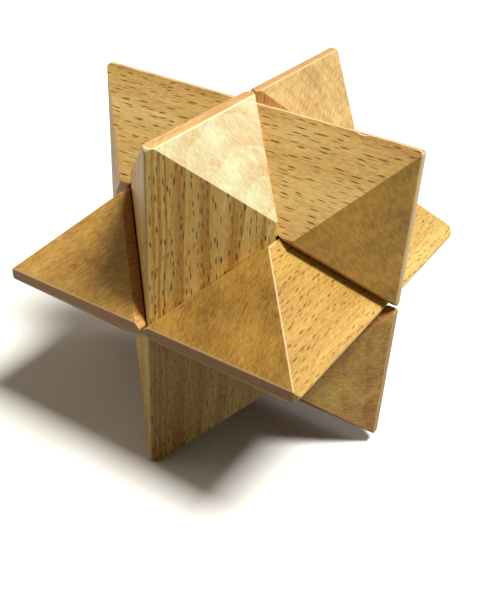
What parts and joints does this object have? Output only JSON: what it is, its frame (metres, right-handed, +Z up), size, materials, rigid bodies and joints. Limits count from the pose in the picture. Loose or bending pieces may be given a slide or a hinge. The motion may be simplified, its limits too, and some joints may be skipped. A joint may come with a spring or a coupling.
{
  "type": "burr puzzle",
  "caption": "Diagonal star burr puzzle of notched square wooden bars that hold each other and pull apart in two halves along a body diagonal.",
  "frame": {"origin": "on the surface the star stands on, straight below its centre, midway between the two upright bars", "axes": "+Z up along the two upright bars; X along the top and bottom bars; +Y from the front upright to the back upright, along the left and right bars"},
  "size_m": [0.075, 0.075, 0.075],
  "materials": {
    "bottom_bar_beech": "sanded bare beech, satin",
    "top_bar_beech": "sanded bare beech, satin",
    "front_bar_beech": "sanded bare beech, satin",
    "back_bar_beech": "sanded bare beech, satin",
    "left_bar_beech": "sanded bare beech, satin",
    "right_bar_beech": "sanded bare beech, satin"
  },
  "bodies": {
    "bottom_bar": {"bottom_bar": "bottom_bar_beech"},
    "left_bar": {"left_bar": "left_bar_beech"},
    "back_bar": {"back_bar": "back_bar_beech"},
    "front_bar": {"front_bar": "front_bar_beech"},
    "right_bar": {"right_bar": "right_bar_beech"},
    "top_bar": {"top_bar": "top_bar_beech"}
  },
  "joints": [
    {"name": "left_slide", "type": "slide", "parent": "bottom_bar", "child": "left_bar", "axis": [-0.5774, -0.5774, 0.5774], "range_m": [0, 0.045]},
    {"name": "back_slide", "type": "slide", "parent": "bottom_bar", "child": "back_bar", "axis": [0.5774, 0.5774, 0.5774], "range_m": [0, 0.045]},
    {"name": "front_slide", "type": "slide", "parent": "left_bar", "child": "front_bar", "axis": [0.5774, -0.5774, 0.5774], "range_m": [0, 0.045]},
    {"name": "right_slide", "type": "slide", "parent": "back_bar", "child": "right_bar", "axis": [0.5774, -0.5774, 0.5774], "range_m": [0, 0.045]},
    {"name": "top_slide", "type": "slide", "parent": "front_bar", "child": "top_bar", "axis": [0.5774, 0.5774, 0.5774], "range_m": [0, 0.045]}
  ],
  "couplings": [
    {"joint": "right_slide", "follows": "front_slide", "ratio": 1},
    {"joint": "top_slide", "follows": "back_slide", "ratio": 1}
  ]
}
